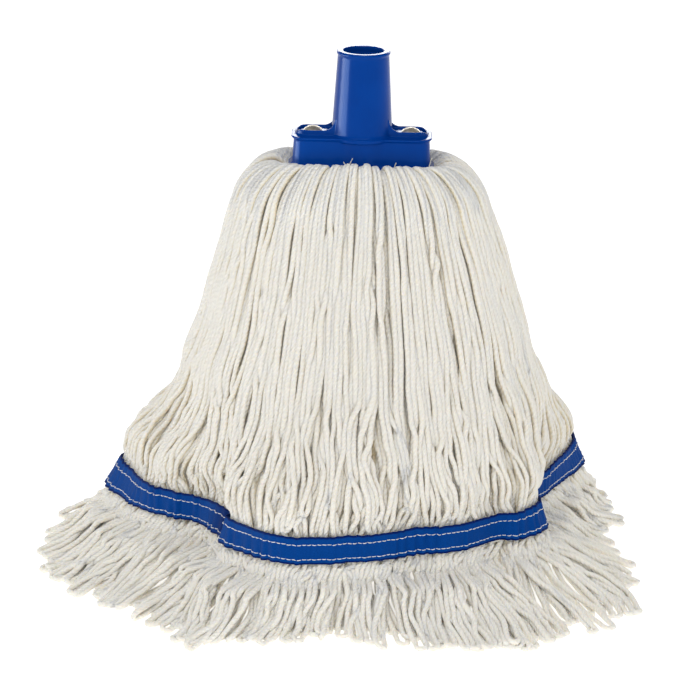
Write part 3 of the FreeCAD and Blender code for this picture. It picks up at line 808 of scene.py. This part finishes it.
def yarn_material():
    m = Material("yarn_cotton")
    fibre = m.attribute("fibre")
    where = m.split(fibre)
    tint, facing, depth = m.split(m.attribute("look"))
    # three plies: a pattern that runs round the yarn three times while it turns along it
    turn = m.math("MULTIPLY", m.math("ARCTAN2", where[1], where[0]), 3.0)
    along = m.math("MULTIPLY", where[2], 6 * math.pi / PLY_TURN / FIBRE_ALONG)
    ply = m.math("COSINE", m.math("SUBTRACT", turn, along))
    fine = m.noise(fibre, 2.6, 4.0, 0.62)
    broad = m.noise(object_point(m), 42.0, 2.0)
    # painted shade: the colour darkens to a warm beige where the yarn's surface faces into the
    # mass, in the grooves between its plies, and on the deeper layers, where shade falls among the
    # yarns; the fine, broad and tint noise is the yarn's own random tone
    painted_facing_light = m.between(facing, -0.25, 0.75)
    shade = m.math("MULTIPLY", painted_facing_light, 0.62)
    for part, weight in ((fine, 0.30), (ply, 0.08), (tint, 0.035), (broad, 0.16)):
        shade = m.math("ADD", shade, m.math("MULTIPLY", part, weight))
    shade = m.math("SUBTRACT", shade, m.math("MULTIPLY", depth, 0.12))
    stops = [(0.10, (0.76, 0.67, 0.49)), (0.42, (0.81, 0.76, 0.65)), (0.80, (0.84, 0.81, 0.745))]
    colour = m.ramp(shade, stops)
    # painted light: the colour turns paler towards the floor, over the looped ends, to lift the
    # shade among them
    level = m.split(object_point(m))[2]
    painted_fringe_light = m.math("SUBTRACT", 0.85, m.math("MULTIPLY", m.between(level, 18 * MM, 44 * MM), 0.85))
    m.feed("Base Color", m.mixed(painted_fringe_light, colour, (0.91, 0.88, 0.81)))
    height = m.math("ADD", fine, m.math("MULTIPLY", ply, 0.55))
    m.feed("Normal", m.bump(height, 0.75, 0.45 * MM))
    m.set(Roughness=0.95, Sheen_Weight=0.12, Sheen_Roughness=0.6, Specular_IOR_Level=0.2)
    # light passes through the soft yarn and leaves it a little warmer
    m.set(Subsurface_Weight=0.6, Subsurface_Radius=(1.0, 0.9, 0.72), Subsurface_Scale=1.8 * MM)
    return m.material


def plastic_material():
    m = Material("moulded_blue_plastic")
    where = object_point(m)
    cloud = m.noise(where, 28.0, 3.0)
    grain = m.noise(where, 900.0, 2.0)
    m.feed("Base Color", m.ramp(cloud, [(0.30, (0.0, 0.034, 0.230)), (0.72, (0.0, 0.046, 0.285))]))
    m.feed("Roughness", m.mapped(cloud, "To", 0.16, 0.26))
    swell = m.noise(where, 60.0, 1.0)
    normal = m.bump(swell, 0.12, 0.6 * MM)
    m.feed("Normal", m.bump(grain, 0.05, 0.05 * MM, normal))
    m.set(Specular_IOR_Level=0.14, Specular_Tint=(0.35, 0.6, 1.0, 1))
    return m.material


def metal_material(name, dark, light, rough_low, rough_high, streak):
    m = Material(name)
    where = object_point(m)
    stretch = m.node("ShaderNodeMapping", [("Scale", streak)])
    m.link(where, stretch.inputs["Vector"])
    grain = m.noise(stretch.outputs["Vector"], 400.0, 3.0)
    m.feed("Base Color", m.ramp(grain, [(0.3, dark), (0.7, light)]))
    m.feed("Roughness", m.mapped(grain, "To", rough_low, rough_high))
    m.feed("Normal", m.bump(grain, 0.08, 0.05 * MM))
    m.set(Metallic=0.7)
    return m.material


def cloth_material(name, dark, light, threads_per_mm):
    """Plain woven cloth, for the heading tape in the hood."""
    m = Material(name)
    where = object_point(m)
    waves = []
    for direction in ("X", "Y"):
        fine = [("Scale", threads_per_mm / MM * 0.05)]
        wave = m.node("ShaderNodeTexWave", fine, wave_type="BANDS", bands_direction=direction)
        m.link(where, wave.inputs["Vector"])
        waves.append(wave.outputs["Fac"])
    weave = m.math("MULTIPLY", *waves)
    m.feed("Base Color", m.ramp(weave, [(0.1, dark), (0.6, light)]))
    m.feed("Normal", m.bump(weave, 0.5, 0.2 * MM))
    m.set(Roughness=0.9, Sheen_Weight=0.2)
    return m.material


yarn_look = yarn_material()
plastic_look = plastic_material()
rivet_look = metal_material(
    "rivet_nickelled", (0.50, 0.45, 0.36), (0.74, 0.69, 0.58), 0.34, 0.5, (1, 1, 0.1)
)
steel_look = metal_material(
    "plate_zinc", (0.45, 0.46, 0.47), (0.68, 0.69, 0.70), 0.30, 0.5, (0.1, 1, 1)
)
tape_look = cloth_material("heading_tape_cotton", (0.55, 0.50, 0.42), (0.80, 0.76, 0.68), 1.6)


def paint(item, material):
    item.data.materials.clear()
    item.data.materials.append(material)


# ---- The yarn's pieces: the 40 loops that go furthest are pieces of their own ----
CORDS = 40
HANKS = 16

# the last number is each layer's depth, which the material turns into painted shade: the under and
# middle layers are painted darker
outer_tubes = yarn_tubes(outer_lines, 7, 500, 0.0)
under_tubes = yarn_tubes(under_lines, 6, 600, 1.0)
core_tubes = yarn_tubes(core_lines, 6, 700, 1.0)

tips = outer_lines[:, outer_lines.shape[1] // 2]
reaches = np.linalg.norm(tips[:, :2] / np.array([1.0, 0.86]), axis=1)
directions = np.degrees(np.arctan2(tips[:, 1], tips[:, 0])) % 360
sectors = (directions // (360 / HANKS)).astype(int)
left_over = np.bincount(sectors, minlength=HANKS) - 2  # each hank's own piece keeps two or more
furthest = []
for candidate in np.argsort(-reaches, kind="stable"):
    if left_over[sectors[candidate]] > 0 and len(furthest) < CORDS:
        left_over[sectors[candidate]] -= 1
        furthest.append(candidate)
furthest = np.array(furthest)
furthest = furthest[np.argsort(directions[furthest], kind="stable")]


def bend_at_hinge(item):
    """A piece of yarn: given the yarn material, with its placing baked into its mesh."""
    paint(item, yarn_look)
    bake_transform(item)


for number, chosen in enumerate(furthest, start=1):
    piece = yarn_piece(f"yarn_loop_{number:02d}", [chosen], outer_tubes)
    bend_at_hinge(piece)

others = np.setdiff1d(np.arange(OUTER_LOOPS), furthest)
for number in range(HANKS):
    chosen = others[sectors[others] == number]
    piece = yarn_piece(f"yarn_group_{number + 1:02d}", chosen, outer_tubes)
    bend_at_hinge(piece)
    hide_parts(f"yarn_hank_{number + 1:02d}")

under_tips = under_lines[:, under_lines.shape[1] // 2]
for name, right, behind in (
    ("front_left", False, False),
    ("front_right", True, False),
    ("back_left", False, True),
    ("back_right", True, True),
):
    quarter = ((under_tips[:, 0] > 0) == right) & ((under_tips[:, 1] > 0) == behind)
    piece = yarn_piece(f"inner_yarn_{name}", np.nonzero(quarter)[0], under_tubes)
    bend_at_hinge(piece)
    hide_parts("inner_yarn", "yarn_neck", "yarn_core")
middle_yarn = yarn_piece("inner_yarn_middle", np.arange(CORE_LOOPS), core_tubes)
bend_at_hinge(middle_yarn)
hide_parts("inner_yarn", "yarn_neck", "yarn_core")


# Loose ends of thread that stick up in front of the rim: x, how far they lean and how long they are
THREAD_ENDS = [
    (-8.0, 2.6, 6.0), (-9.5, -1.6, 3.4), (43.0, 1.3, 5.6), (4.0, -0.8, 2.6), (21.0, 0.9, 2.8),
]
thread_lines = []
for x, lean, high in THREAD_ENDS:
    y = -20.6 * (1 - (x / 48.5) ** 2) ** 0.18 - 3.6 * math.exp(-((x / 12) ** 2))
    bow = [(x - lean * 0.4, y - 0.5, 257.0), (x, y, 261.0), (x + lean, y - 0.6, 261.0 + high)]
    thread_lines.append(catmull(np.array(bow) * MM, 6))
thread_tubes = yarn_tubes(resampled(thread_lines, 10), 6, 800, 0.0, 0.33 * MM)
thread_ends = yarn_piece("thread_ends", np.arange(len(THREAD_ENDS)), thread_tubes)
bend_at_hinge(thread_ends)


# ---- Tail band: a woven ribbon, gathered a little by its two rows of stitches ----
PUCKER_STEP = 1.3 * MM
PLEATS = [(-36, -132), (96, -88), (-128, -56), (52, -111)]  # small steps in the ribbon, in plan
FOLDS = [(-80, -102), (121, -62)]  # where it doubles over itself


def share_near(x, y):
    return band_share[np.hypot(band_curve[:, 0] - x * MM, band_curve[:, 1] - y * MM).argmin()]


def painted_fold_shade(share):
    """How much painted shade the ribbon gets beside its own folds, where their shadow falls."""
    left, right = (share_near(*place) for place in FOLDS)
    before = (left - share) * BAND_LENGTH / MM
    after = (share - right) * BAND_LENGTH / MM
    in_left = (1 - smooth(before, 12, 34)) * smooth(before, 2, 5)
    return np.maximum(in_left, 0.6 * (1 - smooth(after, 8, 22)) * smooth(after, 2, 5))


def ribbon_surface(share, across):
    """Points of the ribbon's middle and its outward normal. across runs from 0, the lower edge,
    to 1, the upper."""
    share, across = np.broadcast_arrays(share, across)
    place, normal = band_at(share, lean_at(share, across) + RIBBON_OUT)
    at = share * BAND_LENGTH
    pucker = np.zeros_like(at)
    source = np.random.default_rng(41)
    for _ in range(26):
        wave = source.uniform(3.2, 16) * MM
        phase = source.uniform(0, 2 * math.pi)
        tilt = source.normal(0, 0.5)
        turns = round(BAND_LENGTH / wave)
        pucker += np.sin(2 * math.pi * (turns * share) + phase + tilt * across * 3) * wave ** 0.5
    pucker = 0.0017 * np.abs(pucker)
    for pleat in PLEATS:
        past = at - share_near(*pleat) * BAND_LENGTH
        pucker += 1.1 * MM * smooth(past, 0, 1.2 * MM) * np.exp(-np.clip(past, 0, None) / (5 * MM))
    edge = 1 + 0.8 * np.abs(across - 0.5)
    turn = 2 * math.pi * share
    sag = 0.35 * MM * np.sin(turn * 17 + 1.0) + 0.2 * MM * np.sin(turn * 43 + 2.0)
    z = BAND_LOW + across * BAND_WIDTH + sag
    xy = place + normal * (pucker * edge)[..., None]
    level = np.concatenate([normal, 0 * normal[..., :1]], axis=-1)
    return np.concatenate([xy, z[..., None]], axis=-1), level


def make_ribbon():
    count = int(BAND_LENGTH / PUCKER_STEP)
    across = np.array([0.0, 0.03, 0.10, 0.2, 0.3, 0.4, 0.5, 0.6, 0.7, 0.8, 0.9, 0.97, 1.0])
    share = np.arange(count) / count
    middle, out = ribbon_surface(share[:, None], across[None, :])
    thick = RIBBON_HALF * np.where((across < 0.05) | (across > 0.95), 1.25, 1.0)[None, :, None]
    front = middle + out * thick
    back = (middle - out * thick)[:, ::-1]
    ring = np.concatenate([front, back], axis=1)
    around = ring.shape[1]
    i = np.arange(count)[:, None] * around
    j = np.arange(around)[None, :]
    after = (j + 1) % around
    onward = ((np.arange(count) + 1) % count)[:, None] * around
    quads = np.stack([i + j, onward + j, onward + after, i + after], axis=-1).reshape(-1, 4)
    along = np.broadcast_to((share * BAND_LENGTH)[:, None], (count, around))
    high = np.concatenate([across, across[::-1]]) * BAND_WIDTH
    # painted shade beside the folds, carried as the weave's third value
    shade = np.broadcast_to(painted_fold_shade(share)[:, None], (count, around)) * MM
    weave = np.stack([along, np.broadcast_to(high, (count, around)), shade], axis=-1)
    return new_mesh("tail_ribbon", ring, quads, (), [("weave", weave.reshape(-1, 3) / MM)])


STITCH_LONG = 2.9 * MM
STITCH_PITCH = 3.1 * MM
STITCH_THICK = 0.27 * MM


def make_stitches(name, across):
    """A row of separate stitches, each a short thread that dips into the ribbon at both ends."""
    count = int(BAND_LENGTH / STITCH_PITCH)
    along = (np.arange(count)[:, None] + np.linspace(0, STITCH_LONG / STITCH_PITCH, 7)) / count
    dip = np.array([-0.35, 0.12, 0.30, 0.36, 0.30, 0.12, -0.35]) * MM
    source = np.random.default_rng(7)
    sway = 0.004 * np.sin(np.arange(count) * 0.4)[:, None]
    lift = across + source.normal(0, 0.006, (count, 1)) + sway
    middle, out = ribbon_surface(along, lift + 0 * along)
    lines = middle + out * (RIBBON_HALF + dip)[None, :, None]
    _, u, v = frames(lines)
    around = 6
    own = np.arange(around) * 2 * math.pi / around
    taper = np.array([0.5, 0.9, 1, 1, 1, 0.9, 0.5])[None, :, None] * STITCH_THICK
    places = (
        lines[:, :, None, :]
        + u[:, :, None, :] * (taper * np.cos(own))[..., None]
        + v[:, :, None, :] * (taper * np.sin(own))[..., None]
    )
    return new_mesh(name, places, *many_tubes(count, lines.shape[1], around))


def ribbon_material():
    m = Material("ribbon_woven_blue")
    weave = m.attribute("weave")
    along, across, painted_fold_shade = m.split(weave)
    # ribs across the ribbon, as in grosgrain, with a finer over-and-under along them
    rib = m.math("SINE", m.math("MULTIPLY", along, 2 * math.pi / 0.55))
    thread = m.math("SINE", m.math("MULTIPLY", across, 2 * math.pi / 0.42))
    cloth = m.math("ADD", rib, m.math("MULTIPLY", thread, 0.6))
    fray = m.noise(weave, 1.4, 3.0)
    middle = m.math("ABSOLUTE", m.math("SUBTRACT", across, BAND_WIDTH / MM / 2))
    selvedge = m.between(middle, BAND_WIDTH / MM / 2 - 1.5, BAND_WIDTH / MM / 2 - 0.9)
    # painted shade: the colour goes over to dark navy in the folds' shade, as well as at the
    # selvedge
    dark = m.math("MAXIMUM", selvedge, m.math("MULTIPLY", painted_fold_shade, 0.8))
    tone = m.math("ADD", m.math("MULTIPLY", fray, 0.5), m.math("MULTIPLY", cloth, 0.07))
    body = m.ramp(tone, [(0.10, (0.0, 0.036, 0.19)), (0.45, (0.002, 0.066, 0.34))])
    m.feed("Base Color", m.mixed(dark, body, (0.001, 0.012, 0.11)))
    m.feed("Normal", m.bump(cloth, 0.35, 0.12 * MM))
    m.set(Roughness=0.62, Specular_IOR_Level=0.08, Specular_Tint=(0.3, 0.6, 1.0, 1))
    return m.material


def thread_material():
    m = Material("stitching_thread")
    grain = m.noise(object_point(m), 1400.0, 3.0)
    m.feed("Base Color", m.ramp(grain, [(0.3, (0.62, 0.62, 0.62)), (0.7, (0.90, 0.90, 0.90))]))
    m.feed("Normal", m.bump(grain, 0.4, 0.1 * MM))
    m.set(Roughness=0.7)
    return m.material


ribbon = make_ribbon()
paint(ribbon, ribbon_material())
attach(ribbon, "yarn_skirt")
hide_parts("tail_band")
thread_look = thread_material()
for name, across in (("stitches_upper", 0.72), ("stitches_lower", 0.18)):
    row = make_stitches(name, across)
    paint(row, thread_look)
    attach(row, "yarn_skirt")
    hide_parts("stitch_row_upper" if across > 0.5 else "stitch_row_lower")

# ---- CAD nodes that keep their shape ----
SOCKET_VOXEL = 0.5 * MM


def finished_socket():
    """The moulding's own shape with every edge rounded, as it leaves its mould."""
    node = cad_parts["socket_body"]
    item = placed("socket_moulding", node.data.copy())
    remesh = item.modifiers.new("remesh", "REMESH")
    remesh.mode = "VOXEL"
    remesh.voxel_size = SOCKET_VOXEL
    remesh.use_smooth_shade = True
    soften = item.modifiers.new("soften", "SMOOTH")
    soften.factor = 0.5
    soften.iterations = 4
    fewer = item.modifiers.new("fewer", "DECIMATE")
    fewer.ratio = 0.45
    done = item.evaluated_get(bpy.context.evaluated_depsgraph_get())
    mesh = bpy.data.meshes.new_from_object(done)
    item.modifiers.clear()
    item.data = mesh
    mesh.polygons.foreach_set("use_smooth", np.ones(len(mesh.polygons), bool))
    paint(item, plastic_look)
    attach(item, "socket")
    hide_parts("socket_body")


finished_socket()
NODE_LOOKS = {
    "rivet_left": rivet_look,
    "rivet_right": rivet_look,
    "rivet_washer_left": steel_look,
    "rivet_washer_right": steel_look,
    "clamp_plate": steel_look,
    "heading_tape": tape_look,
}
for node, look in NODE_LOOKS.items():
    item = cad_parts[node]
    for place in item.material_slots:
        place.material = look

# ---- Studio ----
world = bpy.data.worlds.new("studio")
bpy.context.scene.world = world
world.use_nodes = True
background = world.node_tree.nodes["Background"]
background.inputs["Color"].default_value = (1, 1, 1, 1)
background.inputs["Strength"].default_value = 0.62

floor_mesh = bpy.data.meshes.new("studio_floor")
floor_mesh.from_pydata([(-60, -60, 0), (60, -60, 0), (60, 60, 0), (-60, 60, 0)], [], [(0, 1, 2, 3)])
floor = placed("studio_floor", floor_mesh)
paper = Material("studio_paper").set(Base_Color=(0.95, 0.95, 0.95, 1), Roughness=0.9)
paper.set(Emission_Color=(1, 1, 1, 1), Emission_Strength=0.58)
paint(floor, paper.material)


def area_light(name, place, target, size, power, diffuse=True):
    data = bpy.data.lights.new(name, "AREA")
    data.shape = "RECTANGLE"
    data.size, data.size_y = size
    data.energy = power
    item = placed(name, data)
    item.location = place
    item.rotation_euler = (Vector(target) - Vector(place)).to_track_quat("-Z", "Y").to_euler()
    item.visible_diffuse = diffuse


area_light("key", (-0.9, -1.05, 1.9), (0, 0, 0.12), (0.9, 1.2), 6.2)
area_light("front", (0.15, -1.5, 1.45), (0, 0, 0.10), (1.6, 0.9), 8.2)
# panels that only show as highlights on the moulding
area_light("side_panel", (-0.95, -0.12, 0.2), (0, 0, 0.29), (0.7, 0.4), 12, False)
area_light("back_panel", (0, 1.6, 0.72), (0, 0, 0.29), (2.2, 0.4), 17, False)
area_light("edge_panel", (0, -0.9, 1.25), (0, 0, 0.27), (1.0, 0.12), 4, False)
world.cycles_visibility.glossy = False
bpy.context.scene.view_settings.view_transform = "Standard"
